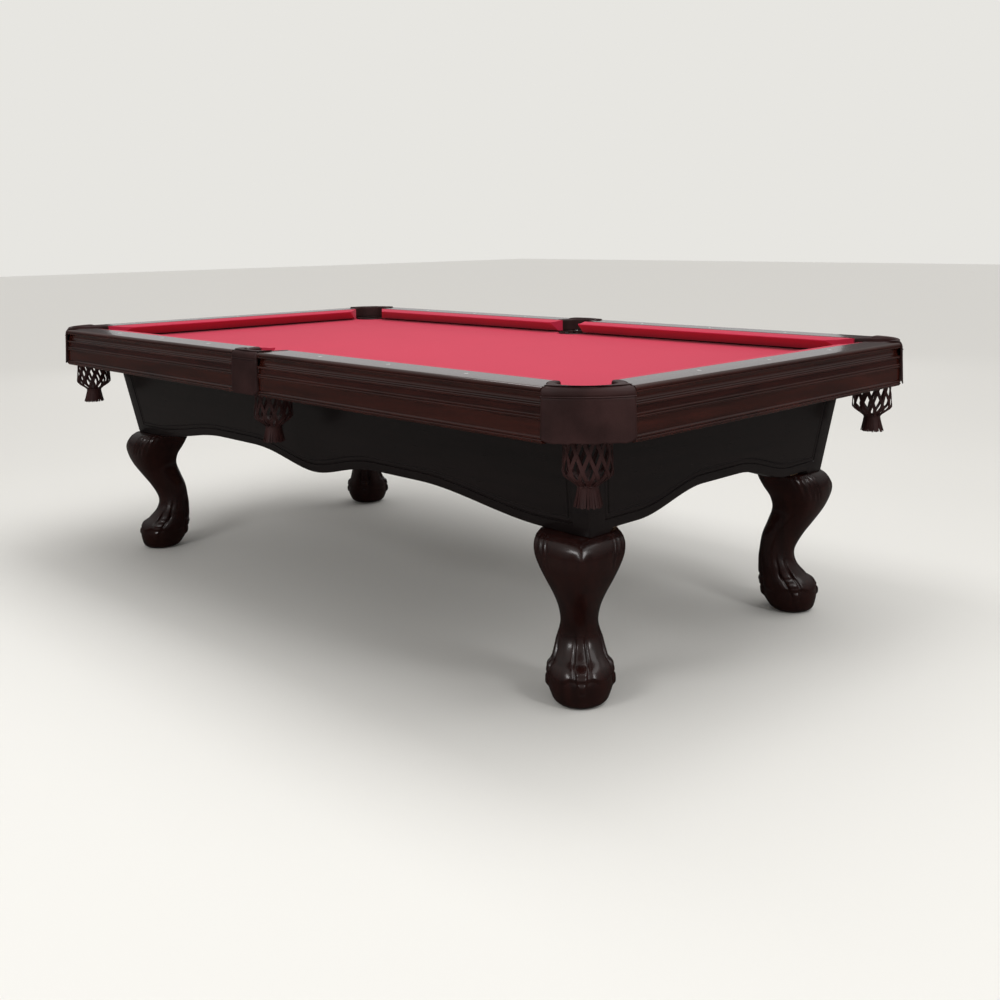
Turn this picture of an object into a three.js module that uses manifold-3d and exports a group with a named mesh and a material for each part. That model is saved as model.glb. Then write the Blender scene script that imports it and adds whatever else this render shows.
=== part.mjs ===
// Pool table, eight-foot drop-pocket pattern, in millimetres.
// Origin on the floor under the middle of the bed, +X along the table, +Y across it, +Z up.

import * as THREE from 'three';
import { mergeVertices } from 'three/addons/utils/BufferGeometryUtils.js';
import Module from 'manifold-3d';

const wasm = await Module();
wasm.setup();

// ---- driving dimensions ----

const playLength = 2235.2; // between cushion noses, along the table
const playWidth = 1117.6; // between cushion noses, across the table
const railWidth = 140; // cushion nose to outer edge of the rail
const cushionDepth = 50; // cushion nose to the wood of the rail
const railTop = 760; // height of the rail above the floor
const bedTop = 717; // top of the cloth
const noseHeight = 752; // cushion nose above the floor
const slateThickness = 25.4;
const slateOverhang = 105; // slate beyond the cushion nose
const clothThickness = 1.2;
const gap = 0.3; // clearance kept between touching pieces

const skirtTop = 716.6; // moulded blind board under the rail
const skirtBottom = 643;
const skirtThickness = 20;

const cabinetTopHeight = 689.2; // apron boards, leaning in towards the floor
const cabinetTopX = 1099;
const cabinetTopY = 541;
const cabinetFootHeight = 396;
const cabinetFootX = 1057;
const cabinetFootY = 483;
const apronThickness = 22;
const shortArchRise = 56;
const longArchRise = 46; // crown of the side aprons' arches above the cabinet's foot
const longCentreDrop = 44;
const longEndDrop = 45;
const longArchHalf = 940;
const shortEndDrop = 46;
const shortArchHalf = 410;

const cornerPocketInset = 36; // pocket centre beyond the nose lines
const cornerHoleRadius = 64;
const cornerMouth = 127; // between the cushion points
const cornerFacingAngle = 38; // degrees between a cushion end and the nose line
const cornerLeatherReach = 137; // leather along each side of the outer corner
const cornerBulge = 21; // middle of a corner leather past the line between the rails' ends

const sidePocketInset = 52;
const sideHoleRadius = 61;
const sideMouth = 133;
const sideFacingAngle = 76;
const sideLeatherHalf = 63;

const leatherProud = 4; // leather outside the line of the wood
const leatherThickness = 7;
const leatherTop = 764;
const ironWidth = 18;
const ironBottom = 722;

const netTop = 720;
const netBottom = 548;
const tasselBottom = 503;
const netWall = 4;

const beamWidth = 45;
const beamDepth = 80;
const cornerBlockSide = 96;

const legCornerX = 1029; // where a leg's diagonal starts, near the cabinet's corner
const legCornerY = 485;
const legTop = cabinetFootHeight - gap;
const legSegments = 28;

// ---- derived sizes ----

const noseX = playLength / 2;
const noseY = playWidth / 2;
const outerX = noseX + railWidth;
const outerY = noseY + railWidth;
const slateTop = bedTop - clothThickness - gap;
const slateBottom = slateTop - slateThickness;
const slateX = noseX + slateOverhang;
const slateY = noseY + slateOverhang;
const cornerX = noseX + cornerPocketInset;
const cornerY = noseY + cornerPocketInset;
const sideY = noseY + sidePocketInset;
const railEndX = outerX - cornerLeatherReach;
const railEndY = outerY - cornerLeatherReach;
const radians = Math.PI / 180;

// ---- materials ----

const wood = (color) => new THREE.MeshStandardMaterial({ color, roughness: 0.3, metalness: 0 });
const railWood = wood(0x3a1710);
const cabinetWood = wood(0x21110e);
const legWood = wood(0x35150f);
const frameWood = wood(0xb08a5c);
const slateStone = new THREE.MeshStandardMaterial({ color: 0x53585c, roughness: 0.8, metalness: 0 });
const cloth = new THREE.MeshStandardMaterial({ color: 0xb0203c, roughness: 0.95, metalness: 0 });
const leather = new THREE.MeshStandardMaterial({ color: 0x3a2020, roughness: 0.5, metalness: 0 });
const castIron = new THREE.MeshStandardMaterial({ color: 0x2a2a2c, roughness: 0.6, metalness: 0.8 });

// ---- geometry helpers ----

function toSolid(geometry) {
  const bare = geometry.clone();
  bare.deleteAttribute('normal');
  bare.deleteAttribute('uv');
  const merged = mergeVertices(bare, 1e-3);
  const vertProperties = new Float32Array(merged.attributes.position.array);
  const triVerts = new Uint32Array(merged.index.array);
  return new wasm.Manifold(new wasm.Mesh({ numProp: 3, vertProperties, triVerts }));
}

function toGeometry(solid) {
  const mesh = solid.getMesh();
  const geometry = new THREE.BufferGeometry();
  geometry.setAttribute('position', new THREE.BufferAttribute(new Float32Array(mesh.vertProperties), 3));
  geometry.setIndex(new THREE.BufferAttribute(new Uint32Array(mesh.triVerts), 1));
  const flat = geometry.toNonIndexed();
  flat.computeVertexNormals();
  return flat;
}

function outline(points) {
  return new THREE.Shape(points.map(([x, y]) => new THREE.Vector2(x, y)));
}

// A flat outline in X and Y, raised from one height to another.
function slab(shape, low, high, curveSegments = 12) {
  const geometry = new THREE.ExtrudeGeometry(shape, { depth: high - low, bevelEnabled: false, curveSegments });
  geometry.translate(0, 0, low);
  return toSolid(geometry);
}

function cylinder(x, y, radius, low, high, segments = 36) {
  const geometry = new THREE.CylinderGeometry(radius, radius, high - low, segments);
  geometry.rotateX(90 * radians);
  geometry.translate(x, y, (low + high) / 2);
  return toSolid(geometry);
}

// A box between two corners.
function block(x0, x1, y0, y1, z0, z1) {
  const geometry = new THREE.BoxGeometry(x1 - x0, y1 - y0, z1 - z0);
  geometry.translate((x0 + x1) / 2, (y0 + y1) / 2, (z0 + z1) / 2);
  return toSolid(geometry);
}

// A box whose eight corners are placed by a function of their signs.
function shapedBox(place) {
  const geometry = new THREE.BoxGeometry(2, 2, 2);
  const position = geometry.attributes.position;
  for (let i = 0; i < position.count; i += 1) {
    const corner = place(position.getX(i), position.getY(i), position.getZ(i));
    position.setXYZ(i, ...corner);
  }
  return toSolid(geometry);
}

// A section drawn in depth (from the nose line outwards) and height, run along +X from start to end.
function run(section, start, end) {
  const geometry = new THREE.ExtrudeGeometry(outline(section), { depth: end - start, bevelEnabled: false });
  geometry.applyMatrix4(new THREE.Matrix4().makeBasis(
    new THREE.Vector3(0, 1, 0), new THREE.Vector3(0, 0, 1), new THREE.Vector3(1, 0, 0)));
  geometry.translate(start, 0, 0);
  return toSolid(geometry);
}

function arcPoints(x, y, radius, fromDegrees, toDegrees, steps) {
  const points = [];
  for (let i = 0; i <= steps; i += 1) {
    const angle = (fromDegrees + ((toDegrees - fromDegrees) * i) / steps) * radians;
    points.push([x + radius * Math.cos(angle), y + radius * Math.sin(angle)]);
  }
  return points;
}

// ---- scene helpers ----

const table = new THREE.Group();

// Adds a mesh, mirrored in X and Y by signs, with its faces kept pointing out.
function place(name, geometry, material, signX = 1, signY = 1) {
  let shape = geometry;
  if (signX !== 1 || signY !== 1) {
    shape = geometry.clone();
    shape.scale(signX, signY, 1);
    if (signX * signY < 0) {
      const position = shape.attributes.position;
      for (let i = 0; i < position.count; i += 3) {
        const second = [position.getX(i + 1), position.getY(i + 1), position.getZ(i + 1)];
        position.setXYZ(i + 1, position.getX(i + 2), position.getY(i + 2), position.getZ(i + 2));
        position.setXYZ(i + 2, ...second);
      }
    }
    shape.computeVertexNormals();
  }
  const mesh = new THREE.Mesh(shape, material);
  mesh.name = name;
  table.add(mesh);
}

const lengthName = { [-1]: 'left', 1: 'right' };
const widthName = { [-1]: 'front', 1: 'back' };
const signs = [-1, 1];

function atCorners(prefix, geometry, material) {
  for (const signY of signs) {
    for (const signX of signs) {
      place(`${prefix}_${widthName[signY]}_${lengthName[signX]}`, geometry, material, signX, signY);
    }
  }
}

function atSides(prefix, geometry, material) {
  for (const signY of signs) {
    place(`${prefix}_${widthName[signY]}_side`, geometry, material, 1, signY);
  }
}

// ---- slate bed and its cloth ----

function pocketCuts(low, high) {
  let cuts = null;
  for (const signX of signs) {
    for (const signY of signs) {
      const x = signX * cornerX;
      const y = signY * cornerY;
      const hole = cylinder(x, y, cornerHoleRadius + 2, low, high);
      const span = slateOverhang;
      const open = block(Math.min(x, x + signX * span), Math.max(x, x + signX * span),
        Math.min(y, y + signY * span), Math.max(y, y + signY * span), low, high);
      cuts = cuts ? cuts.add(hole).add(open) : hole.add(open);
    }
  }
  for (const signY of signs) {
    const y = signY * sideY;
    const radius = sideHoleRadius + 2;
    const far = y + signY * slateOverhang;
    cuts = cuts.add(cylinder(0, y, radius, low, high));
    cuts = cuts.add(block(-radius, radius, Math.min(y, far), Math.max(y, far), low, high));
  }
  return cuts;
}

function makeBed() {
  const cuts = pocketCuts(slateBottom - 5, bedTop + 5);
  const third = slateX * 2 / 3;
  ['left', 'centre', 'right'].forEach((name, index) => {
    const start = -slateX + index * third + (index > 0 ? gap / 2 : 0);
    const end = -slateX + (index + 1) * third - (index < 2 ? gap / 2 : 0);
    const sheet = block(start, end, -slateY, slateY, slateBottom, slateTop).subtract(cuts);
    place(`slate_${name}`, toGeometry(sheet), slateStone);
  });
  const felt = block(-slateX, slateX, -slateY, slateY, slateTop + gap, bedTop).subtract(cuts);
  place('bed_cloth', toGeometry(felt), cloth);
}

// ---- rails, blind boards and cushions ----

// Outer edge of the rail: rounded nosing, a bead, a stepped cove and a lip.
const railSection = [
  [cushionDepth + gap, bedTop + gap],
  [railWidth - 3, bedTop + gap],
  ...arcPoints(railWidth - 3, bedTop + gap + 4, 3, -60, 60, 4),
  [railWidth - 9, bedTop + 9],
  ...arcPoints(railWidth - 9 + 11, bedTop + 21, 11, 200, 140, 3),
  [railWidth - 4, railTop - 13],
  ...arcPoints(railWidth - 3.5, railTop - 10.5, 2.5, -70, 70, 4),
  ...arcPoints(railWidth - 5, railTop - 4, 4, -20, 90, 5),
  [cushionDepth + gap, railTop],
];

// Blind board: a flat band between two pairs of beads.
function beadPair(height) {
  return [
    ...arcPoints(railWidth - 3, height - 3, 2.6, -80, 80, 4),
    ...arcPoints(railWidth - 3, height + 3, 2.6, -80, 80, 4),
  ];
}

const skirtSection = [
  [railWidth - skirtThickness, skirtBottom],
  [railWidth - 4, skirtBottom],
  ...beadPair(skirtBottom + 9),
  [railWidth - 4, skirtBottom + 17],
  [railWidth - 4, skirtBottom + 47],
  ...beadPair(skirtBottom + 55),
  [railWidth - 4, skirtBottom + 63],
  [railWidth - 6, skirtTop],
  [railWidth - skirtThickness, skirtTop],
];

const cushionSection = [
  [0, noseHeight - 1.5],
  [1.2, noseHeight - 4],
  [34, bedTop + 6],
  [cushionDepth, bedTop + 5],
  [cushionDepth, railTop - 0.5],
  [2, noseHeight + 2],
  [0.2, noseHeight + 0.5],
];

// Cuts a cushion's end back to the facing line that leads into a pocket.
function facingCutter(noseEnd, direction, angle) {
  const reach = 400;
  const lean = (cushionDepth + 20) / Math.tan(angle * radians);
  const back = -20 / Math.tan(angle * radians);
  const shape = outline([
    [noseEnd + direction * back, -20],
    [noseEnd + direction * reach, -20],
    [noseEnd + direction * reach, cushionDepth + 20],
    [noseEnd + direction * lean, cushionDepth + 20],
  ]);
  return slab(shape, bedTop - 10, railTop + 10);
}

const cornerNoseEnd = cornerMouth / Math.SQRT2;
const ironOuterCorner = cornerHoleRadius + 2 + ironWidth;
const ironOuterSide = sideHoleRadius + 2 + ironWidth;

// Pocket clearances seen from a rail: its own nose line is depth zero.
function cornerRelief(along, low, high) {
  return cylinder(along, cornerPocketInset, ironOuterCorner + gap, low, high, 36);
}

function sideRelief(low, high) {
  return cylinder(0, sidePocketInset, ironOuterSide + gap, low, high, 36);
}

function makeRails() {
  const low = skirtBottom - 5;
  const high = railTop + 5;
  const alongLong = noseX + cornerPocketInset;
  const alongShort = noseY + cornerPocketInset;
  const turns = {
    back: (geometry) => geometry.translate(0, noseY, 0),
    right: (geometry) => geometry.rotateZ(-90 * radians).translate(noseX, 0, 0),
  };
  const long = {
    rail: run(railSection, sideLeatherHalf + gap, railEndX)
      .subtract(cornerRelief(alongLong, low, high)).subtract(sideRelief(low, high)),
    skirt: run(skirtSection, sideLeatherHalf + gap, railEndX),
    cushion: run(cushionSection, sideMouth / 2 - 30, noseX)
      .subtract(facingCutter(noseX - cornerNoseEnd, 1, cornerFacingAngle))
      .subtract(facingCutter(sideMouth / 2, -1, sideFacingAngle)),
  };
  const short = {
    rail: run(railSection, -railEndY, railEndY)
      .subtract(cornerRelief(alongShort, low, high)).subtract(cornerRelief(-alongShort, low, high)),
    skirt: run(skirtSection, -railEndY, railEndY),
    cushion: run(cushionSection, -noseY, noseY)
      .subtract(facingCutter(noseY - cornerNoseEnd, 1, cornerFacingAngle))
      .subtract(facingCutter(-noseY + cornerNoseEnd, -1, cornerFacingAngle)),
  };
  const finish = { rail: railWood, skirt: railWood, cushion: cloth };
  for (const kind of ['rail', 'skirt', 'cushion']) {
    const longShape = turns.back(toGeometry(long[kind]));
    atCorners(kind, longShape, finish[kind]);
    const shortShape = turns.right(toGeometry(short[kind]));
    for (const signX of signs) {
      place(`${kind}_${lengthName[signX]}_end`, shortShape, finish[kind], signX, 1);
    }
  }
}

// ---- pockets ----

// The mouth side of a pocket, where the cushions come in and neither leather nor iron reaches.
function cornerMouthCut(clearance, low, high) {
  const depth = cushionDepth + clearance;
  return block(noseX - 200, cornerX, noseY - 200, noseY + depth, low, high)
    .add(block(noseX - 200, noseX + depth, noseY - 200, cornerY, low, high));
}

function makeCornerPockets() {
  const low = skirtBottom - 5;
  const high = leatherTop + 5;
  const startX = railEndX + gap;
  const startY = railEndY + gap;
  const farX = outerX + leatherProud;
  const farY = outerY + leatherProud;
  // The leather's curve from the end rail round to the long rail, moved in by inset.
  const curve = (inset) => {
    const chordHalf = Math.hypot(farX - inset - startX, farY - inset - startY) / 2;
    const radius = (chordHalf ** 2 + cornerBulge ** 2) / (2 * cornerBulge);
    const half = Math.asin(chordHalf / radius) / radians;
    const back = (radius - cornerBulge) * Math.SQRT1_2;
    const middleX = (startX + farX - inset) / 2;
    const middleY = (startY + farY - inset) / 2;
    return arcPoints(middleX - back, middleY - back, radius, 45 - half, 45 + half, 10);
  };
  const inboard = (inset) => slab(outline([
    ...curve(inset), [startX - 150, farY - inset], [startX - 150, startY - 150], [farX - inset, startY - 150],
  ]), low, high);
  const skirt = slab(outline([...curve(0), ...curve(leatherThickness).reverse()]), skirtBottom, leatherTop - 1);
  const capLow = leatherTop - leatherThickness;
  const cap = slab(outline([...curve(0), [startX, cornerY], [cornerX, startY]]), capLow, leatherTop)
    .add(cylinder(cornerX, cornerY, ironOuterCorner, capLow, leatherTop, 36).intersect(inboard(0)))
    .subtract(cylinder(cornerX, cornerY, cornerHoleRadius, low, high, 36))
    .subtract(cornerMouthCut(1, low, high));
  atCorners('pocket_leather', toGeometry(cap.add(skirt)), leather);

  const iron = cylinder(cornerX, cornerY, ironOuterCorner, ironBottom, capLow - gap, 36)
    .subtract(cylinder(cornerX, cornerY, cornerHoleRadius + 2, low, high, 36))
    .subtract(cornerMouthCut(8, low, high))
    .intersect(inboard(leatherThickness + 1));
  atCorners('pocket_iron', toGeometry(iron), castIron);
  atCorners('pocket_net', makeNet(cornerX, cornerY, cornerHoleRadius - 4), leather);
}

function makeSidePockets() {
  const low = skirtBottom - 5;
  const high = leatherTop + 5;
  const farY = outerY + leatherProud;
  const capLow = leatherTop - leatherThickness;
  const half = sideLeatherHalf;
  const mouthY = noseY + cushionDepth;
  const skirt = block(-half, half, farY - leatherThickness, farY, skirtBottom, leatherTop - 1);
  const cap = block(-half, half, sideY, farY, capLow, leatherTop)
    .add(cylinder(0, sideY, ironOuterSide, capLow, leatherTop, 36))
    .subtract(cylinder(0, sideY, sideHoleRadius, low, high, 36))
    .subtract(block(-200, 200, mouthY - 200, mouthY + 1, low, high));
  atSides('pocket_leather', toGeometry(cap.add(skirt)), leather);

  const iron = cylinder(0, sideY, ironOuterSide, ironBottom, capLow - gap, 36)
    .subtract(cylinder(0, sideY, sideHoleRadius + 2, low, high, 36))
    .subtract(block(-200, 200, mouthY - 200, mouthY + 8, low, high));
  atSides('pocket_iron', toGeometry(iron), castIron);
  atSides('pocket_net', makeNet(0, sideY, sideHoleRadius - 4), leather);
}

// A net bag with its open top in the slate hole, and the tassel under it.
function makeNet(x, y, radius) {
  const inside = radius - netWall;
  const profile = [
    [0, netBottom + 4], [14, netBottom + 7], [inside * 0.66, netBottom + 26], [inside * 0.9, netBottom + 58],
    [inside * 0.98, netBottom + 105], [inside, netTop],
    [radius, netTop], [radius * 0.99, netBottom + 105], [radius * 0.92, netBottom + 56],
    [radius * 0.7, netBottom + 22], [18, netBottom + 2], [13, netBottom - 5],
    [20, netBottom - 24], [25, tasselBottom], [0, tasselBottom],
  ].map(([r, z]) => new THREE.Vector2(r, z));
  const geometry = new THREE.LatheGeometry(profile.reverse(), 16);
  geometry.rotateX(90 * radians);
  geometry.translate(x, y, 0);
  return toGeometry(toSolid(geometry));
}

// ---- cabinet ----

// Plan position of the cabinet's outer face at a height: it leans in towards the floor.
function cabinetAt(height) {
  const share = (height - cabinetFootHeight) / (cabinetTopHeight - cabinetFootHeight);
  return {
    x: cabinetFootX + share * (cabinetTopX - cabinetFootX),
    y: cabinetFootY + share * (cabinetTopY - cabinetFootY),
  };
}

function smooth(value) {
  const t = Math.min(1, Math.max(0, value));
  return t * t * (3 - 2 * t);
}

// Lower edge of the side aprons: a drop in the middle, an arch each side of it, low ends at the legs.
function longEdge(along) {
  const distance = Math.abs(along);
  const drop = longCentreDrop * (1 - smooth(distance / 320)) ** 1.4;
  const end = longEndDrop * smooth((distance - 480) / 440);
  return cabinetFootHeight + longArchRise - drop - end;
}

// Lower edge of the end aprons: one arch between level ends.
function shortEdge(along) {
  const end = shortEndDrop * smooth((Math.abs(along) - 75) / 240);
  return cabinetFootHeight + shortArchRise - end;
}

// The space under an apron, as an outline in (along, height).
function archOutline(edge, half, steps) {
  const points = [[-half, cabinetFootHeight - 40]];
  for (let i = 0; i <= steps; i += 1) {
    const along = -half + (2 * half * i) / steps;
    points.push([along, edge(along)]);
  }
  points.push([half, cabinetFootHeight - 40]);
  return outline(points.reverse());
}

function makeCabinet() {
  const height = (sz) => (sz > 0 ? cabinetTopHeight : cabinetFootHeight);
  const inset = (outward) => (outward > 0 ? 0 : apronThickness);
  const longBoard = shapedBox((sx, sy, sz) => {
    const at = cabinetAt(height(sz));
    return [sx * (at.x - inset(sy) - gap), at.y - inset(sy), height(sz)];
  });
  const longArch = new THREE.ExtrudeGeometry(archOutline(longEdge, longArchHalf, 36), { depth: 200, bevelEnabled: false });
  longArch.rotateX(90 * radians).translate(0, cabinetFootY + 120, 0);
  const longShape = toGeometry(longBoard.subtract(toSolid(longArch)));
  for (const signY of signs) {
    place(`apron_${widthName[signY]}`, longShape, cabinetWood, 1, signY);
  }

  const shortBoard = shapedBox((sx, sy, sz) => {
    const at = cabinetAt(height(sz));
    return [at.x - inset(sx), sy * (at.y - inset(sx)), height(sz)];
  });
  const shortArch = new THREE.ExtrudeGeometry(archOutline(shortEdge, shortArchHalf, 32), { depth: 200, bevelEnabled: false });
  shortArch.rotateX(90 * radians).rotateZ(90 * radians).translate(cabinetFootX - 80, 0, 0);
  const shortShape = toGeometry(shortBoard.subtract(toSolid(shortArch)));
  for (const signX of signs) {
    place(`apron_${lengthName[signX]}_end`, shortShape, cabinetWood, signX, 1);
  }
}

function makeFrame() {
  const top = slateBottom - gap;
  const low = top - beamDepth;
  const blockX = cabinetFootX - apronThickness - gap;
  const blockY = cabinetFootY - apronThickness - gap;
  const cornerBlock = block(blockX - cornerBlockSide, blockX, blockY - cornerBlockSide, blockY,
    cabinetFootHeight, top);
  atCorners('corner_block', toGeometry(cornerBlock), frameWood);

  const crossX = blockX - cornerBlockSide - 12;
  const crossHalf = cabinetAt(low).y - apronThickness - 4;
  const cross = toGeometry(block(crossX - beamWidth, crossX, -crossHalf, crossHalf, low, top));
  for (const signX of signs) {
    place(`cross_beam_${lengthName[signX]}`, cross, frameWood, signX, 1);
  }
  const longY = blockY - 18;
  const longHalf = crossX - beamWidth - gap;
  const long = toGeometry(block(-longHalf, longHalf, longY - beamWidth, longY, low, top));
  for (const signY of signs) {
    place(`long_beam_${widthName[signY]}`, long, frameWood, 1, signY);
  }
  const centreHalf = longY - beamWidth - gap;
  const centre = block(-beamWidth / 2, beamWidth / 2, -centreHalf, centreHalf, low, top);
  place('cross_beam_centre', toGeometry(centre), frameWood);
}

// ---- legs ----

// Sections of a cabriole leg on a ball-and-claw foot: height, outward and inward reach from the
// legCorner along the diagonal, half width, and how square the section is (2 is round).
const legSections = [
  [0, -14, -104, 45, 2],
  [12, 0, -122, 60, 2],
  [38, 10, -142, 76, 2],
  [66, 12, -147, 79, 2],
  [86, 0, -150, 74, 2],
  [108, -27, -152, 62, 2],
  [131, -47, -152, 52, 2],
  [155, -53, -151, 45, 2],
  [180, -48, -149, 44, 1.9],
  [214, -27, -142, 48, 1.9],
  [249, 1, -127, 59, 1.9],
  [286, 30, -114, 74, 1.8],
  [318, 47, -120, 88, 1.8],
  [345, 51, -137, 99, 1.8],
  [368, 47, -150, 103, 1.7],
  [385, 36, -157, 99, 1.6],
  [legTop, 20, -162, 88, 1.5],
];

function makeLegs() {
  const rings = legSections.map((section) => new THREE.Vector2(1, section[0]));
  const profile = [new THREE.Vector2(0, 0), ...rings, new THREE.Vector2(0, legTop)];
  const geometry = new THREE.LatheGeometry(profile, legSegments);
  geometry.rotateX(90 * radians);
  const position = geometry.attributes.position;
  for (let i = 0; i < position.count; i += 1) {
    const [x, y, z] = [position.getX(i), position.getY(i), position.getZ(i)];
    const [, outward, inward, half, power] = legSections.find((section) => Math.abs(section[0] - z) < 0.01);
    const middle = (outward + inward) / 2;
    const reach = (outward - inward) / 2;
    const radius = Math.hypot(x, y);
    const norm = radius > 0 ? (Math.abs(x / radius) ** power + Math.abs(y / radius) ** power) ** (-1 / power) : 0;
    const scale = radius > 0 ? norm / radius : 0;
    position.setXYZ(i, middle + reach * x * scale, half * y * scale, z);
  }
  geometry.rotateZ(45 * radians).translate(legCornerX, legCornerY, 0);
  atCorners('leg', toGeometry(toSolid(geometry)), legWood);
}

makeBed();
makeRails();
makeCornerPockets();
makeSidePockets();
makeCabinet();
makeFrame();
makeLegs();

export default table;
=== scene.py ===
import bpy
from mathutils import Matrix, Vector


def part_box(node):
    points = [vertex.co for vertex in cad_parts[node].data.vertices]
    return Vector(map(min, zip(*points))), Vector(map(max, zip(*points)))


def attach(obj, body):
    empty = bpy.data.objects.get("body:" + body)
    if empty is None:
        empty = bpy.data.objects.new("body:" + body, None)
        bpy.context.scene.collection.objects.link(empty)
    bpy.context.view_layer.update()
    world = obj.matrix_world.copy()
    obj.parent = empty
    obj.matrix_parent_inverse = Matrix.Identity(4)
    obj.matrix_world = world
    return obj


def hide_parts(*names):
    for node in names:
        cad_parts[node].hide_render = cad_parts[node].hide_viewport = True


bl_info = {
    "name": "Drop-pocket pool table",
    "version": (1, 0, 0),
    "blender": (4, 5, 0),
    "location": "View3D > Sidebar > Pool table",
    "description": "Finishes a slate pool table with carved legs and sewn leather pockets",
    "category": "Add Mesh",
}

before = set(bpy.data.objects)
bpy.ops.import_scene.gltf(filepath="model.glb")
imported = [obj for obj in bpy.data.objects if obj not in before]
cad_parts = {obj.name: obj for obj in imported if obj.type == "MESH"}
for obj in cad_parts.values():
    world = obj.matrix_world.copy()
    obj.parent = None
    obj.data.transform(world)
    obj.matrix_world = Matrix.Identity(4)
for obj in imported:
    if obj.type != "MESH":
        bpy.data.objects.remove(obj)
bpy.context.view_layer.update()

import math

import bmesh
import bpy
from bpy.props import FloatProperty, FloatVectorProperty, IntProperty, PointerProperty
from mathutils import Matrix, Vector

MM = 0.001
SIGNS = (-1, 1)
LENGTH_NAME = {-1: "left", 1: "right"}
WIDTH_NAME = {-1: "front", 1: "back"}

# ---- places read from the frame, all for the back right quarter ----

RAIL_LOW, RAIL_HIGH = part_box("rail_back_right")
CUSHION_LOW, CUSHION_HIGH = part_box("cushion_back_right")
SKIRT_LOW, SKIRT_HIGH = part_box("skirt_back_right")
NOSE_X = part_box("cushion_right_end")[0].x
NOSE_Y = CUSHION_LOW.y
RAIL_TOP, RAIL_FOOT = RAIL_HIGH.z, RAIL_LOW.z
RAIL_END_X = RAIL_HIGH.x
RAIL_END_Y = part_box("rail_right_end")[1].y
RAIL_BACK = RAIL_LOW.y - NOSE_Y
RAIL_WIDTH = RAIL_HIGH.y - NOSE_Y
CUSHION_DEPTH = CUSHION_HIGH.y - NOSE_Y
CUSHION_TOP, CUSHION_FOOT = CUSHION_HIGH.z, CUSHION_LOW.z
SKIRT_TOP, SKIRT_FOOT = SKIRT_HIGH.z, SKIRT_LOW.z
SKIRT_BACK = SKIRT_LOW.y - NOSE_Y
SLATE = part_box("bed_cloth")[1]
BED_TOP = SLATE.z
LEATHER_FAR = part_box("pocket_leather_back_right")[1]
LEATHER_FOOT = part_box("pocket_leather_back_right")[0].z


def box_middle(node):
    low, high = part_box(node)
    return (low + high) / 2


CORNER_NET = box_middle("pocket_net_back_right")
SIDE_NET = box_middle("pocket_net_back_side")
CORNER_NET_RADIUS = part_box("pocket_net_back_right")[1].x - CORNER_NET.x
SIDE_NET_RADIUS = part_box("pocket_net_back_side")[1].x - SIDE_NET.x
CLEARANCE = 0.3 * MM
CORNER_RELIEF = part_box("pocket_iron_back_right")[1].x - CORNER_NET.x + CLEARANCE
SIDE_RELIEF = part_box("pocket_iron_back_side")[1].y - SIDE_NET.y + CLEARANCE
LEATHER_HALF = RAIL_LOW.x
APRON_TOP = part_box("apron_back")[1]
APRON_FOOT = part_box("apron_back")[0].z
LEG_CORNER = Vector((1.029, 0.485, 0))
LEG_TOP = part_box("leg_back_right")[1].z


# ---- settings ----

def length_setting(name, description, default, low, high):
    return FloatProperty(
        name=name, description=description, default=default, min=low, max=high, unit="LENGTH")


class TableSizes(bpy.types.PropertyGroup):
    """Sizes that the frame leaves free, in metres."""
    corner_mouth: length_setting(
        "Corner mouth", "Opening between the cushion points at a corner", 0.127, 0.11, 0.14)
    side_mouth: length_setting(
        "Side mouth", "Opening between the cushion points at a side", 0.133, 0.12, 0.15)
    apron_thickness: length_setting(
        "Apron thickness", "Thickness of the cabinet boards", 0.022, 0.015, 0.03)
    groove_inset: length_setting(
        "Groove inset", "Distance of the incised line from the edge of an apron", 0.030, 0.01, 0.06)
    groove_side_inset: length_setting(
        "Groove side inset", "Distance of the incised line from an apron's end", 0.058, 0.03, 0.1)
    groove_depth: length_setting(
        "Groove depth", "Depth of the incised line", 0.0026, 0.0005, 0.005)
    sight_length: length_setting(
        "Sight length", "Long diagonal of a pearl sight", 0.014, 0.005, 0.03)
    strap_width: length_setting(
        "Strap width", "Width of a strap in the pocket nets", 0.0078, 0.003, 0.012)
    strap_count: IntProperty(
        name="Strap count", description="Straps that lean each way round a pocket net",
        default=12, min=6, max=16)
    tassel_count: IntProperty(
        name="Tassel count", description="Strips in a pocket's fringe", default=30, min=12, max=60)


def colour_setting(name, description, default):
    return FloatVectorProperty(
        name=name, description=description, subtype="COLOR", size=3, min=0, max=1, default=default)


class TableFinishes(bpy.types.PropertyGroup):
    """Colours of the table's finishes, linear."""
    rail_dark: colour_setting("Rail dark", "Dark grain of the rails and skirts", (0.013, 0.0030, 0.0022))
    rail_light: colour_setting("Rail light", "Light grain of the rails and skirts", (0.048, 0.0095, 0.006))
    cabinet_dark: colour_setting("Cabinet dark", "Dark grain of the cabinet", (0.0055, 0.0036, 0.0038))
    cabinet_light: colour_setting("Cabinet light", "Light grain of the cabinet", (0.0100, 0.0060, 0.0058))
    leg_dark: colour_setting("Leg dark", "Dark grain of the legs", (0.007, 0.0022, 0.0018))
    leg_light: colour_setting("Leg light", "Light grain of the legs", (0.026, 0.0062, 0.0045))
    cloth: colour_setting("Cloth", "Bed and cushion cloth", (0.52, 0.020, 0.060))
    leather: colour_setting("Leather", "Pocket leathers and nets", (0.020, 0.0060, 0.0056))
    slate: colour_setting("Slate", "Slate bed", (0.09, 0.10, 0.11))
    pearl: colour_setting("Pearl", "Sights in the rails", (0.80, 0.77, 0.70))
    floor: colour_setting("Floor", "Floor and surroundings", (0.80, 0.79, 0.755))


def sizes():
    return bpy.context.scene.table_sizes


def finishes():
    return bpy.context.scene.table_finishes


# ---- shader expressions ----

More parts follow.
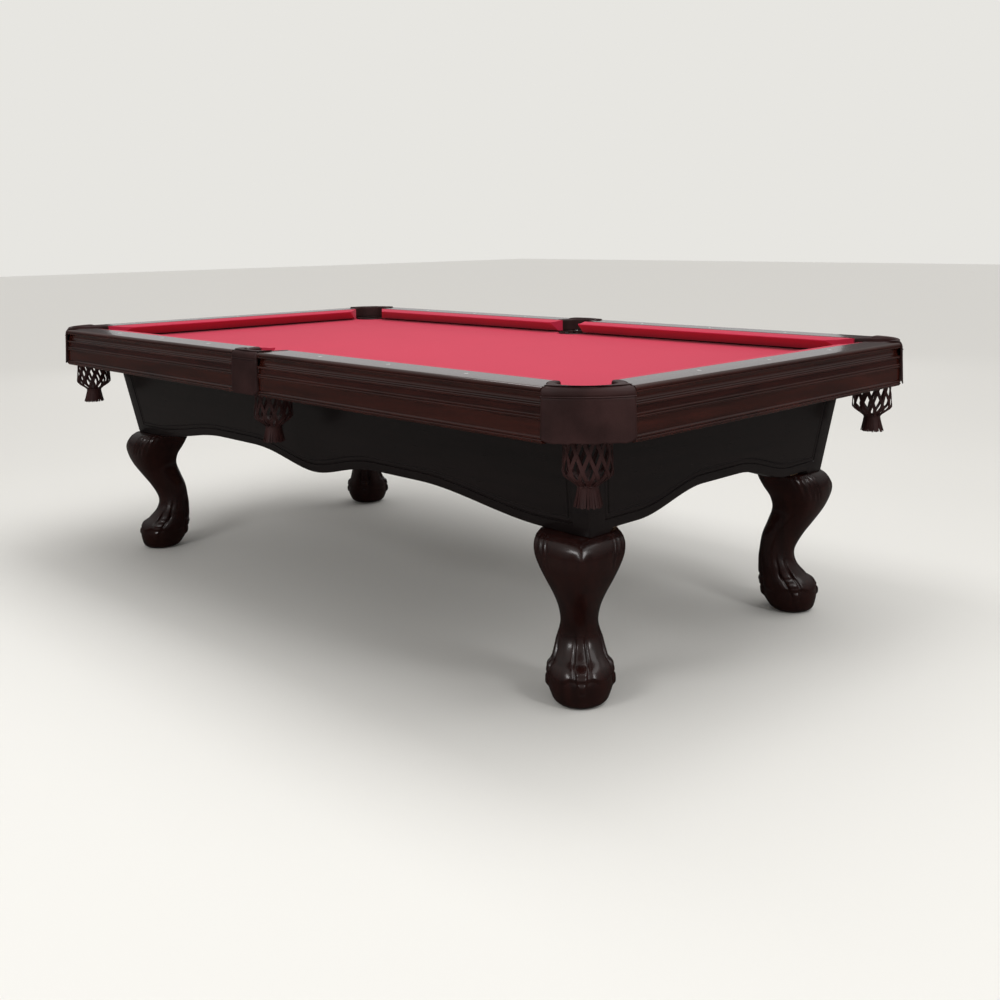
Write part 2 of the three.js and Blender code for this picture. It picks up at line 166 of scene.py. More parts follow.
BLACK, WHITE = (0, 0, 0), (1, 1, 1)


class Value:
    """A shader socket that takes part in arithmetic."""

    def __init__(self, nodes, socket):
        self.nodes = nodes
        self.socket = socket

    def math(self, operation, first, second):
        return self.nodes.node("Math", {"operation": operation}, {0: first, 1: second})

    def __add__(self, other):
        return self.math("ADD", self, other)

    def __mul__(self, other):
        return self.math("MULTIPLY", self, other)

    def __rsub__(self, other):
        return self.math("SUBTRACT", other, self)

    __radd__ = __add__
    __rmul__ = __mul__


class Nodes:
    """A material's or a world's node tree."""

    def __init__(self, owner):
        owner.use_nodes = True
        self.tree = owner.node_tree

    def connect(self, value, socket):
        if isinstance(value, Value):
            self.tree.links.new(value.socket, socket)
        elif hasattr(value, "__len__") and len(value) == 3 and socket.type == "RGBA":
            socket.default_value = (*value, 1)
        else:
            socket.default_value = value

    def node(self, kind, settings, inputs, output=0):
        made = self.tree.nodes.new("ShaderNode" + kind)
        for name, setting in settings.items():
            if name == "stops":
                for element, (position, colour) in zip(made.color_ramp.elements, setting):
                    element.position = position
                    element.color = (*colour, 1)
            else:
                setattr(made, name, setting)
        for name, value in inputs.items():
            self.connect(value, made.inputs[name])
        return Value(self, made.outputs[output])

    def by_ray(self, ray, usual, other):
        """The usual shader, but the other one for rays of that kind."""
        flag = self.node("LightPath", {}, {}, ray)
        return self.node("MixShader", {}, {0: flag, 1: usual, 2: other})

    def show(self, output, shader):
        self.connect(shader, self.tree.nodes[output].inputs["Surface"])


class Finish(Nodes):
    """A material built round its Principled shader."""

    def __init__(self, name):
        self.material = bpy.data.materials.new(name)
        super().__init__(self.material)
        self.shader = self.tree.nodes["Principled BSDF"]

    def place(self, stretch=(1, 1, 1)):
        """Object coordinates, with more detail along the axes that are stretched."""
        where = self.node("TexCoord", {}, {}, "Object")
        return self.node("Mapping", {}, {"Vector": where, "Scale": stretch})

    def noise(self, where, scale, detail=3, distortion=0.0):
        return self.node("TexNoise", {}, {
            "Vector": where, "Scale": scale, "Detail": detail, "Distortion": distortion}, "Fac")

    def sharpen(self, value, low, high):
        return self.node("ValToRGB", {"stops": ((low, BLACK), (high, WHITE))}, {0: value})

    def mix(self, share, first, second):
        return self.node("Mix", {"data_type": "RGBA"}, {"Factor": share, 6: first, 7: second}, 2)

    def relief(self, height, distance):
        return self.node("Bump", {}, {"Height": height, "Distance": distance, "Strength": 1.0}, "Normal")

    def set(self, **values):
        for name, value in values.items():
            self.connect(value, self.shader.inputs[name.replace("_", " ").title().replace("Ior", "IOR")])


def grain_stretch(axis, along, across):
    return tuple(along if index == axis else across for index in range(3))


def make_wood(name, dark, light, axis, gloss, coat):
    wood = Finish(name)
    figure = wood.noise(wood.place(grain_stretch(axis, 1.1, 13)), 3.0, 6, 0.7)
    streaks = wood.noise(wood.place(grain_stretch(axis, 3.0, 90)), 3.0, 4, 0.2)
    pores = wood.sharpen(wood.noise(wood.place(grain_stretch(axis, 14, 420)), 3.0, 2), 0.40, 0.62)
    tone = wood.sharpen(figure * 0.7 + streaks * 0.3, 0.30, 0.74)
    wood.set(
        base_color=wood.mix(0.88 * tone + 0.12 * pores, dark, light),
        roughness=gloss + 0.03 * (1 - pores) + 0.04 * streaks,
        specular_ior_level=0.42,
        coat_weight=coat, coat_roughness=0.06,
        normal=wood.relief(pores * 0.6 + streaks * 0.4, 0.000008))
    return wood.material


def make_cloth(name, colour, tightness):
    cloth = Finish(name)
    weave = cloth.noise(cloth.place((1, 1, 1)), 1500, 2)
    nap = cloth.noise(cloth.place((1, 1, 1)), 260, 4)
    shade = cloth.noise(cloth.place((1, 1, 1)), 5, 3)
    deep = tuple(0.80 * part for part in colour)
    cloth.set(
        base_color=cloth.mix(0.35 * shade + 0.35 * weave + 0.30 * nap, deep, colour),
        roughness=0.86 + 0.10 * nap,
        specular_ior_level=0.25,
        sheen_weight=0.18, sheen_roughness=0.45, sheen_tint=(1.0, 0.55, 0.60, 1),
        normal=cloth.relief(weave * 0.6 + nap * 0.4, tightness))
    return cloth.material


def make_leather(name, colour, relief):
    leather = Finish(name)
    where = leather.place((1, 1, 1))
    pebble = leather.node("TexVoronoi", {"feature": "F1"}, {"Vector": where, "Scale": 620}, "Distance")
    fold = leather.noise(where, 38, 5, 0.8)
    rub = leather.sharpen(leather.noise(where, 11, 4), 0.42, 0.68)
    worn = tuple(min(1.0, 2.1 * part + 0.004) for part in colour)
    leather.set(
        base_color=leather.mix(0.55 * rub + 0.30 * fold, colour, worn),
        roughness=0.36 + 0.16 * fold + 0.12 * pebble,
        specular_ior_level=0.25,
        normal=leather.relief(pebble * 0.5 + fold * 0.8, relief))
    return leather.material


def make_slate(name, colour):
    stone = Finish(name)
    cleft = stone.noise(stone.place((1, 1, 6)), 14, 8, 0.4)
    pale = tuple(1.7 * part for part in colour)
    stone.set(
        base_color=stone.mix(cleft, colour, pale),
        roughness=0.62 + 0.2 * cleft,
        normal=stone.relief(cleft, 0.0006))
    return stone.material


def make_iron(name):
    iron = Finish(name)
    sand = iron.noise(iron.place((1, 1, 1)), 420, 3)
    iron.set(
        base_color=iron.mix(sand, (0.010, 0.010, 0.011), (0.035, 0.035, 0.037)),
        roughness=0.45 + 0.25 * sand, metallic=0.3,
        normal=iron.relief(sand, 0.0004))
    return iron.material


def make_pearl(name, colour):
    pearl = Finish(name)
    cloud = pearl.noise(pearl.place((1, 1, 1)), 240, 4, 1.5)
    cool = (colour[0] * 0.72, colour[1] * 0.80, colour[2] * 0.95)
    pearl.set(
        base_color=pearl.mix(cloud, cool, colour),
        roughness=0.18 + 0.12 * cloud, coat_weight=0.4)
    return pearl.material


def make_floor(name, colour):
    """A matt floor that is pale to look at and dim in the lacquer's reflections."""
    floor = Finish(name)
    floor.set(base_color=colour, roughness=0.75, specular_ior_level=0.1)
    dim = floor.node("BsdfDiffuse", {}, {"Color": (0.10, 0.095, 0.09)})
    pale = Value(floor, floor.shader.outputs[0])
    floor.show("Material Output", floor.by_ray("Is Glossy Ray", pale, dim))
    return floor.material


TIMBER = (0.25, 0.15, 0.08), (0.45, 0.31, 0.18)
AXES = {"x": 0, "y": 1, "z": 2}


def make_any_wood(name, colours):
    """The finish of a wood by its name, which ends in its grain's axis."""
    kind, axis = name.rsplit("_", 1)
    dark, light, gloss, coat = {
        "rail_wood": (colours.rail_dark, colours.rail_light, 0.14, 0.3),
        "cabinet_wood": (colours.cabinet_dark, colours.cabinet_light, 0.26, 0.05),
        "leg_wood": (colours.leg_dark, colours.leg_light, 0.21, 0.12),
        "frame_wood": (*TIMBER, 0.55, 0.0),
    }[kind]
    return make_wood(name, dark, light, AXES[axis], gloss, coat)


MAKERS = {
    "bed_cloth": lambda name, f: make_cloth(name, tuple(f.cloth), 0.00012),
    "cushion_cloth": lambda name, f: make_cloth(name, tuple(f.cloth), 0.00010),
    "pocket_leather": lambda name, f: make_leather(name, tuple(f.leather), 0.00030),
    "strap_leather": lambda name, f: make_leather(name, tuple(1.25 * part for part in f.leather), 0.0002),
    "slate": lambda name, f: make_slate(name, tuple(f.slate)),
    "cast_iron": lambda name, f: make_iron(name),
    "pearl": lambda name, f: make_pearl(name, tuple(f.pearl)),
    "floor": lambda name, f: make_floor(name, tuple(f.floor)),
}


def finish(name):
    """The material of that name, made the first time that it is asked for."""
    made = bpy.data.materials.get("table " + name)
    if made is None:
        made = MAKERS.get(name, make_any_wood)(name, finishes())
        made.name = "table " + name
    return made


# ---- mesh helpers ----

def smoothstep(low, high, value):
    share = min(1.0, max(0.0, (value - low) / (high - low)))
    return share * share * (3 - 2 * share)


def lerp(first, second, share):
    return first + (second - first) * share


def arc(x, y, radius, start, end, steps):
    """Points of an arc from one angle to another, in degrees."""
    angles = [math.radians(lerp(start, end, step / steps)) for step in range(steps + 1)]
    return [(x + radius * math.cos(angle), y + radius * math.sin(angle)) for angle in angles]


def around(centre, reach, angle, height):
    """A point at a distance and an angle from an upright axis."""
    return Vector((centre.x + reach * math.cos(angle), centre.y + reach * math.sin(angle), height))


def mapped_grid(columns, rows, place):
    """A grid of quads whose points go to place(column, row), both counted from 0 to 1."""
    made = bmesh.new()
    bmesh.ops.create_grid(made, x_segments=columns, y_segments=rows, size=0.5)
    for vert in made.verts:
        vert.co = place(vert.co.x + 0.5, vert.co.y + 0.5)
    return made


def outward(made):
    """Turns faces outwards."""
    bmesh.ops.recalc_face_normals(made, faces=made.faces)
    return made


def cap(made):
    """Fills open ends and turns faces outwards."""
    bmesh.ops.holes_fill(made, edges=[edge for edge in made.edges if edge.is_boundary])
    return outward(made)


def close(made):
    """Joins the seam of a wrapped grid and caps its open ends."""
    bmesh.ops.remove_doubles(made, verts=made.verts, dist=1e-6)
    return cap(made)


def add_to(target, part):
    """Puts one bmesh into another."""
    mesh = bpy.data.meshes.new("part")
    part.to_mesh(mesh)
    part.free()
    target.from_mesh(mesh)
    bpy.data.meshes.remove(mesh)
    return target


def run_section(outline, start, end):
    """A closed outline of (depth, height) points, run along X from start to end."""
    made = bmesh.new()
    face = made.faces.new([made.verts.new((start, depth, height)) for depth, height in outline])
    grown = bmesh.ops.extrude_face_region(made, geom=[face])["geom"]
    far = [item for item in grown if isinstance(item, bmesh.types.BMVert)]
    bmesh.ops.translate(made, verts=far, vec=(end - start, 0, 0))
    return outward(made)


def drum(x, y, radius, low, high):
    """An upright cylinder used to cut with."""
    made = bmesh.new()
    bmesh.ops.create_cone(
        made, cap_ends=True, segments=72, radius1=radius, radius2=radius, depth=high - low,
        matrix=Matrix.Translation((x, y, (low + high) / 2)))
    return made


def loose_object(made, name):
    mesh = bpy.data.meshes.new(name)
    made.to_mesh(mesh)
    made.free()
    piece = bpy.data.objects.new(name, mesh)
    bpy.context.scene.collection.objects.link(piece)
    return piece


def discard(piece):
    mesh = piece.data
    bpy.data.objects.remove(piece)
    bpy.data.meshes.remove(mesh)


def cut(made, *tools):
    """Cuts tools out of a solid and gives back the solid that is left."""
    body = loose_object(made, "body")
    cutters = [loose_object(tool, "cutter") for tool in tools]
    for cutter in cutters:
        modifier = body.modifiers.new("cut", "BOOLEAN")
        modifier.operation = "DIFFERENCE"
        modifier.solver = "EXACT"
        modifier.object = cutter
    seen = body.evaluated_get(bpy.context.evaluated_depsgraph_get())
    left = bmesh.new()
    left.from_mesh(seen.to_mesh())
    for piece in [body, *cutters]:
        discard(piece)
    return left


def cut_plane(made, point, normal):
    """Cuts off what lies on the normal's side of a plane and closes the cut."""
    geometry = made.verts[:] + made.edges[:] + made.faces[:]
    bmesh.ops.bisect_plane(made, geom=geometry, plane_co=point, plane_no=normal, clear_outer=True)
    return cap(made)


def flipped(made, sign_x, sign_y):
    """A copy mirrored in X and Y by signs, its faces still outwards."""
    copy = made.copy()
    bmesh.ops.scale(copy, verts=copy.verts, vec=(sign_x, sign_y, 1))
    if sign_x * sign_y < 0:
        bmesh.ops.reverse_faces(copy, faces=copy.faces)
    return copy


def finish_piece(made, name, material, nodes=(), crease=38, rounding=0.0):
    """Turns a bmesh into a finished piece that rides on the table."""
    piece = loose_object(made, name)
    piece.data.materials.append(finish(material))
    piece.data.shade_smooth()
    piece.data.set_sharp_from_angle(angle=math.radians(crease))
    if rounding:
        bevel = piece.modifiers.new("rounding", "BEVEL")
        bevel.width = rounding
        bevel.segments = 2
        bevel.limit_method = "ANGLE"
        bevel.angle_limit = math.radians(50)
        bevel.harden_normals = True
    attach(piece, "root")
    if nodes:
        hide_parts(*nodes)
    return piece


# Where copies of a piece go: the end of the name, and the signs that mirror it in X and Y.
CORNERS = [(f"{WIDTH_NAME[y]}_{LENGTH_NAME[x]}", x, y) for y in SIGNS for x in SIGNS]
SIDES = [(f"{WIDTH_NAME[y]}_side", 1, y) for y in SIGNS]
ENDS = [(f"{LENGTH_NAME[x]}_end", x, 1) for x in SIGNS]


def place_copies(made, places, prefix, kind, material, crease=38, rounding=0.0):
    """Mirrored copies of one shape, each standing for the frame's part of that kind and place."""
    pieces = [
        finish_piece(
            flipped(made, x, y), f"{prefix}_{name}", material,
            [f"{kind}_{name}"] if kind else [], crease, rounding)
        for name, x, y in places]
    made.free()
    return pieces


# ---- rails, skirts and sights ----

def rail_outline():
    """Flat top, rounded nosing, a bead, a hollow and a lip, as (depth, height) from the nose line."""
    face = RAIL_WIDTH
    return [
        (RAIL_BACK, RAIL_FOOT), (face - 4 * MM, RAIL_FOOT),
        *arc(face - 4 * MM, RAIL_FOOT + 3.5 * MM, 3.5 * MM, -80, 80, 8),
        (face - 7.5 * MM, RAIL_FOOT + 7.6 * MM), (face - 9 * MM, RAIL_FOOT + 9.5 * MM),
        *arc(face + 3 * MM, RAIL_FOOT + 20 * MM, 14 * MM, 214, 150, 10),
        (face - 6.5 * MM, RAIL_TOP - 15.2 * MM),
        *arc(face - 3.2 * MM, RAIL_TOP - 12.4 * MM, 2.6 * MM, -80, 80, 8),
        *arc(face - 8 * MM, RAIL_TOP - 8 * MM, 8 * MM, -8, 90, 12),
        (RAIL_BACK, RAIL_TOP),
    ]


def bead_pair(height):
    face = RAIL_WIDTH
    return [
        *arc(face - 3.2 * MM, height - 3 * MM, 2.7 * MM, -82, 82, 8),
        *arc(face - 3.2 * MM, height + 3 * MM, 2.7 * MM, -82, 82, 8),
    ]


def skirt_outline():
    """A flat band between two pairs of beads."""
    face = RAIL_WIDTH
    return [
        (SKIRT_BACK, SKIRT_FOOT), (face - 5 * MM, SKIRT_FOOT), (face - 3.6 * MM, SKIRT_FOOT + 1.4 * MM),
        (face - 3.6 * MM, SKIRT_FOOT + 2.6 * MM), *bead_pair(SKIRT_FOOT + 9 * MM),
        (face - 4.2 * MM, SKIRT_FOOT + 15.6 * MM), (face - 4.2 * MM, SKIRT_FOOT + 48 * MM),
        *bead_pair(SKIRT_FOOT + 55 * MM), (face - 5 * MM, SKIRT_FOOT + 61.5 * MM),
        (face - 7 * MM, SKIRT_TOP), (SKIRT_BACK, SKIRT_TOP),
    ]


def to_back(made):
    bmesh.ops.translate(made, verts=made.verts, vec=(0, NOSE_Y, 0))
    return made


def to_right(made):
    turn = Matrix.Translation((NOSE_X, 0, 0)) @ Matrix.Rotation(math.radians(-90), 4, "Z")
    bmesh.ops.transform(made, matrix=turn, verts=made.verts)
    return made


def place_runs(kind, prefix, long, short, materials, crease=32, rounding=0.0):
    """Four copies of the long run and two of the short one."""
    return (
        place_copies(long, CORNERS, prefix, kind, materials[0], crease, rounding)
        + place_copies(short, ENDS, prefix, kind, materials[1], crease, rounding))


RAIL_WOODS = ("rail_wood_x", "rail_wood_y")


class TABLE_OT_rails(bpy.types.Operator):
    """Makes the six moulded wooden rails"""
    bl_idname = "pool_table.rails"
    bl_label = "Moulded rails"

    def execute(self, context):
        low, high = RAIL_FOOT - 0.01, RAIL_TOP + 0.01
        long = cut(
            to_back(run_section(rail_outline(), LEATHER_HALF, RAIL_END_X)),
            drum(CORNER_NET.x, CORNER_NET.y, CORNER_RELIEF, low, high),
            drum(0, SIDE_NET.y, SIDE_RELIEF, low, high))
        short = cut(
            to_right(run_section(rail_outline(), -RAIL_END_Y, RAIL_END_Y)),
            drum(CORNER_NET.x, CORNER_NET.y, CORNER_RELIEF, low, high),
            drum(CORNER_NET.x, -CORNER_NET.y, CORNER_RELIEF, low, high))
        place_runs("rail", "moulded_rail", long, short, RAIL_WOODS)
        return {"FINISHED"}


class TABLE_OT_skirts(bpy.types.Operator):
    """Makes the six beaded skirt boards under the rails"""
    bl_idname = "pool_table.skirts"
    bl_label = "Beaded skirts"

    def execute(self, context):
        long = to_back(run_section(skirt_outline(), LEATHER_HALF, RAIL_END_X))
        short = to_right(run_section(skirt_outline(), -RAIL_END_Y, RAIL_END_Y))
        place_runs("skirt", "beaded_skirt", long, short, RAIL_WOODS)
        return {"FINISHED"}


SIGHT_ROUNDING = 0.25 * MM
SIGHT_INSET = 0.087


def make_sight(x, y, along_x):
    """A pearl diamond let into a rail, standing a hair above it."""
    made = bmesh.new()
    length = sizes().sight_length / 2
    width = length * 0.62
    bmesh.ops.create_circle(made, cap_ends=True, segments=4, radius=length)
    bmesh.ops.scale(made, verts=made.verts, vec=(1, width / length, 1))
    if not along_x:
        bmesh.ops.rotate(made, verts=made.verts, matrix=Matrix.Rotation(math.radians(90), 3, "Z"))
    grown = bmesh.ops.extrude_face_region(made, geom=made.faces[:])["geom"]
    top = [item for item in grown if isinstance(item, bmesh.types.BMVert)]
    bmesh.ops.translate(made, verts=top, vec=(0, 0, 0.9 * MM))
    bmesh.ops.translate(made, verts=made.verts, vec=(x, y, RAIL_TOP - 0.4 * MM))
    outward(made)
    bmesh.ops.bevel(
        made, geom=made.edges[:], offset=SIGHT_ROUNDING, segments=2, profile=0.5, affect="EDGES",
        material=-1)
    return made


class TABLE_OT_sights(bpy.types.Operator):
    """Sets three pearl sights into each rail"""
    bl_idname = "pool_table.sights"
    bl_label = "Pearl sights"

    def execute(self, context):
        spacing = NOSE_X / 4
        for y in SIGNS:
            for step in (-3, -2, -1, 1, 2, 3):
                name = f"sight_{WIDTH_NAME[y]}_{LENGTH_NAME[1 if step > 0 else -1]}_{abs(step)}"
                finish_piece(make_sight(step * spacing, y * (NOSE_Y + SIGHT_INSET), False), name, "pearl")
        for x in SIGNS:
            for step in (-1, 0, 1):
                finish_piece(
                    make_sight(x * (NOSE_X + SIGHT_INSET), step * spacing, True),
                    f"sight_{LENGTH_NAME[x]}_end_{step + 2}", "pearl")
        return {"FINISHED"}


# ---- cushions and bed ----

def cushion_outline():
    """A rubber cushion's section under tight cloth: rounded nose, sloping top and hollow foot."""
    nose_height = BED_TOP + 35 * MM
    return [
        *arc(2.6 * MM, nose_height, 2.6 * MM, 235, 100, 8),
        (20 * MM, CUSHION_TOP - 4.6 * MM), (36 * MM, CUSHION_TOP - 1.6 * MM),
        (CUSHION_DEPTH - 2 * MM, CUSHION_TOP - 0.2 * MM), (CUSHION_DEPTH, CUSHION_TOP - 1 * MM),
        (CUSHION_DEPTH, CUSHION_FOOT), (36 * MM, CUSHION_FOOT + 0.5 * MM),
        *arc(36 * MM, CUSHION_FOOT + 6 * MM, 5.5 * MM, 260, 225, 3),
    ]


def facing_plane(nose_end, direction, angle):
    """Point and normal of the plane that ends a cushion at a pocket, in the run's own frame."""
    lean = math.radians(angle)
    normal = Vector((direction * math.sin(lean), -math.cos(lean), 0))
    return Vector((nose_end, 0, 0)), normal


class TABLE_OT_cushions(bpy.types.Operator):
    """Makes the six cloth-covered cushions, cut back at the pockets"""
    bl_idname = "pool_table.cushions"
    bl_label = "Covered cushions"

    corner_angle = 38
    side_angle = 76

    def execute(self, context):
        corner_end = sizes().corner_mouth / math.sqrt(2)
        long = run_section(cushion_outline(), 0, NOSE_X + 0.05)
        cut_plane(long, *facing_plane(NOSE_X - corner_end, 1, self.corner_angle))
        cut_plane(long, *facing_plane(sizes().side_mouth / 2, -1, self.side_angle))
        short = run_section(cushion_outline(), -NOSE_Y - 0.05, NOSE_Y + 0.05)
        cut_plane(short, *facing_plane(NOSE_Y - corner_end, 1, self.corner_angle))
        cut_plane(short, *facing_plane(-NOSE_Y + corner_end, -1, self.corner_angle))
        cushions = place_runs(
            "cushion", "covered_cushion", to_back(long), to_right(short),
            ("cushion_cloth", "cushion_cloth"), 40, 1.2 * MM)
        return {"FINISHED"}


def cloth_outline():
    """The cloth's edge round a quarter of the bed, from the side pocket to the end, in X and Y."""
    side_radius = SIDE_NET_RADIUS + 6 * MM
    corner_radius = CORNER_NET_RADIUS + 6 * MM
    return [
        *arc(0, SIDE_NET.y, side_radius, -90, 0, 14), (side_radius, SLATE.y),
        (CORNER_NET.x, SLATE.y), *arc(CORNER_NET.x, CORNER_NET.y, corner_radius, 90, 360, 42),
        (SLATE.x, CORNER_NET.y),
    ]


class TABLE_OT_bed(bpy.types.Operator):
    """Stretches the cloth over the slates and gives the slates their stone"""
    bl_idname = "pool_table.bed"
    bl_label = "Cloth and slates"

    def execute(self, context):
        quarter = cloth_outline()
        half = quarter + [(x, -y) for x, y in reversed(quarter)]
        whole = half + [(-x, y) for x, y in reversed(half)][1:-1]
        made = bmesh.new()
        face = made.faces.new([made.verts.new((x, y, BED_TOP)) for x, y in whole])
        face.normal_update()
        if face.normal.z < 0:
            bmesh.ops.reverse_faces(made, faces=[face])
        round_holes = [
            edge for edge in made.edges
            if all(self.on_hole(vert.co) for vert in edge.verts)]
        for drop, inward in ((0.9 * MM, 0.3 * MM), (2.4 * MM, 1.3 * MM), (16 * MM, 1.6 * MM)):
            grown = bmesh.ops.extrude_edge_only(made, edges=round_holes)["geom"]
            round_holes = [item for item in grown if isinstance(item, bmesh.types.BMEdge)]
            for vert in [item for item in grown if isinstance(item, bmesh.types.BMVert)]:
                vert.co = self.turned_down(vert.co, drop, inward)
        bmesh.ops.triangulate(made, faces=[item for item in made.faces if len(item.verts) > 4])
        area = sum(item.calc_area() for item in made.faces)
        piece = finish_piece(made, "stretched_cloth", "bed_cloth", ["bed_cloth"])
        shell = piece.modifiers.new("thickness", "SOLIDIFY")
        shell.thickness = 0.9 * MM
        shell.offset = -1
        for name in ("left", "centre", "right"):
            dress(f"slate_{name}", "slate")
        return {"FINISHED"}

    @staticmethod
    def nearest_hole(point):
        holes = [(x * CORNER_NET.x, y * CORNER_NET.y, CORNER_NET_RADIUS) for x in SIGNS for y in SIGNS]
        holes += [(0, y * SIDE_NET.y, SIDE_NET_RADIUS) for y in SIGNS]
        return min(holes, key=lambda hole: (point.x - hole[0]) ** 2 + (point.y - hole[1]) ** 2)

    def on_hole(self, point):
        x, y, radius = self.nearest_hole(point)
        return math.hypot(point.x - x, point.y - y) < radius + 7 * MM

    def turned_down(self, point, drop, inward):
        x, y, radius = self.nearest_hole(point)
        spoke = Vector((point.x - x, point.y - y, 0)).normalized()
        return Vector((x, y, 0)) + spoke * (radius + 6 * MM - inward) + Vector((0, 0, BED_TOP - drop))


def dress(node, material):
    """Gives a frame part its own finish."""
    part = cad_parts[node]
    part.data.materials.clear()
    part.data.materials.append(finish(material))


# ---- pocket leathers ----

def along_path(points):
    """A function from 0 to 1 that walks a polyline at an even pace, and its outward normal."""
    steps = [Vector(point) for point in points]
    lengths = [0.0]
    for first, second in zip(steps, steps[1:]):
        lengths.append(lengths[-1] + (second - first).length)

    def walk(share):
        goal = share * lengths[-1]
        reached = (i for i, length in enumerate(lengths) if length >= goal - 1e-9)
        index = max(1, next(reached, len(steps) - 1))
        first, second = steps[index - 1], steps[index]
        span = lengths[index] - lengths[index - 1]
        return first.lerp(second, (goal - lengths[index - 1]) / span)

    def walk_with_normal(share):
        ahead, behind = walk(min(1, share + 0.02)), walk(max(0, share - 0.02))
        tangent = (ahead - behind).normalized()
        return walk(share), Vector((-tangent.y, tangent.x))

    return walk_with_normal


# Section of a leather from the ring round the pocket over the top and down the skirt:
# share of the way out to the edge, distance outside it, and drop from the top, in millimetres.
LEATHER_OVER = (
    (0.0, 0, 6.0), (0.0, 0, 1.6), (0.12, 0, 0.7), (0.35, 0, 0.1), (0.60, 0, 0.0), (0.85, -3, 0.8),
    (1, -10, 2.2), (1, -5.5, 4.4), (1, -2.4, 8.0), (1, -0.7, 13), (1, 0.0, 18), (1, 0.0, 21.4),
    (1, -0.9, 22.4), (1, 0.7, 23.0), (1, 1.7, 24.2), (1, 0.7, 25.4), (1, -0.9, 26.0), (1, -0.2, 27.2),
    (1, 0.2, 32), (1, 0.3, 46), (1, 0.5, 60), (1, 0.7, 75), (1, 0.9, 90), (1, 1.1, 104),
)
LEATHER_FOLD = ((1.4, 4.0), (1.6, 1.6), (0.9, 0.2), (-0.6, 0.0), (-1.9, 1.2), (-2.2, 4.0))
LEATHER_UNDER = ((1, -2.6, 80), (1, -3.0, 40), (1, -4.5, 20), (1, -8, 9), (0.5, 0, 7.5))


def leather_shell(centre, ring_radius, start, end, path, foot_of):
    """The cap and skirt of a pocket, swept between the ring round the hole and the outer path."""
    walk = along_path(path)
    rows = len(LEATHER_OVER) + len(LEATHER_FOLD) + len(LEATHER_UNDER)
    top = LEATHER_FAR.z

    def place(column, row):
        outer, normal = walk(column)
        angle = math.radians(lerp(start, end, column))
        inner = centre.xy + ring_radius * Vector((math.cos(angle), math.sin(angle)))
        index = round(row * rows) % rows
        foot = foot_of(column)
        if index < len(LEATHER_OVER):
            share, out, drop = LEATHER_OVER[index]
            height = top - drop * MM
            if drop > 40:
                height = lerp(top - 40 * MM, foot + 6 * MM, (drop - 40) / 66)
        elif index < len(LEATHER_OVER) + len(LEATHER_FOLD):
            out, rise = LEATHER_FOLD[index - len(LEATHER_OVER)]
            share, height = 1, foot + rise * MM
        else:
            share, out, drop = LEATHER_UNDER[index - len(LEATHER_OVER) - len(LEATHER_FOLD)]
            height = top - drop * MM
        point = inner.lerp(outer, share) + normal * out * MM
        return Vector((point.x, point.y, height))

    return close(mapped_grid(72, rows, place))


def leather_ring(centre, radius, start, end, low):
    """The padded rim that lines a pocket's hole, as an open hoop with a rounded section."""
    top = RAIL_TOP + 0.9 * MM
    out = 20 * MM
    waist = 0.32
    section = [
        (radius, low), (radius, top - 12 * MM), *arc(radius + 6 * MM, top - 6.2 * MM, 6 * MM, 180, 90, 8),
        (radius + out * 0.6, top - 0.1 * MM), *arc(radius + out - 4 * MM, top - 4.2 * MM, 4 * MM, 80, 0, 6),
        (radius + out, top - 16 * MM), (radius + 4 * MM, top - 16 * MM), (radius + 3 * MM, low),
    ]
    rows = len(section)

    def place(column, row):
        reach, height = section[round(row * rows) % rows]
        angle = math.radians(lerp(start, end, column))
        narrow = smoothstep(0.18, 0.34, column) * (1 - smoothstep(0.66, 0.82, column))
        reach = radius + (reach - radius) * lerp(1, waist, narrow)
        return around(centre, reach, angle, height)

    return close(mapped_grid(80, rows, place))


def stitch_row(path, drop, pitch, clear):
    """A row of thread stitches along a path."""
    walk = along_path(path)
    length = sum((Vector(b) - Vector(a)).length for a, b in zip(path, path[1:]))
    count = int(length / pitch)
    made = bmesh.new()
    for index in range(count):
        point, normal = walk((index + 0.5) / count)
        tangent = Vector((normal.y, -normal.x))
        turn = Matrix((
            (tangent.x, normal.x, 0, point.x + normal.x * clear),
            (tangent.y, normal.y, 0, point.y + normal.y * clear),
            (0, 0, 1, LEATHER_FAR.z - drop),
            (0, 0, 0, 1)))
        shape = turn @ Matrix.Diagonal((pitch * 0.36, 0.45 * MM, 0.5 * MM, 1))
        bmesh.ops.create_icosphere(made, subdivisions=1, radius=1.0, matrix=shape)
    return outward(made)


def corner_path():
    """The table's outer corner: a shallow curve from the long rail's end to the end rail's."""
    bulge, turn = 21 * MM, 5 * MM
    start = Vector((RAIL_END_X + CLEARANCE, LEATHER_FAR.y))
    end = Vector((LEATHER_FAR.x, RAIL_END_Y + CLEARANCE))
    half = (end - start).length / 2
    radius = (half ** 2 + bulge ** 2) / (2 * bulge)
    back = (radius - bulge) / math.sqrt(2)
    spread = math.degrees(math.asin(half / radius))
    middle = (start + end) / 2
    curve = arc(middle.x - back, middle.y - back, radius, 45 + spread * 0.97, 45 - spread * 0.97, 30)
    return [(start.x, start.y - turn), (start.x + 0.3 * turn, start.y - 0.35 * turn), *curve,
            (end.x - 0.35 * turn, end.y + 0.3 * turn), (end.x - turn, end.y)]


def side_path():
    """The flat outer face of a side pocket with softly turned ends."""
    turn = 7 * MM
    half = LEATHER_HALF - CLEARANCE
    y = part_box("pocket_leather_back_side")[1].y
    return (arc(-half + turn, y - turn, turn, 180, 90, 6) + arc(half - turn, y - turn, turn, 90, 0, 6))


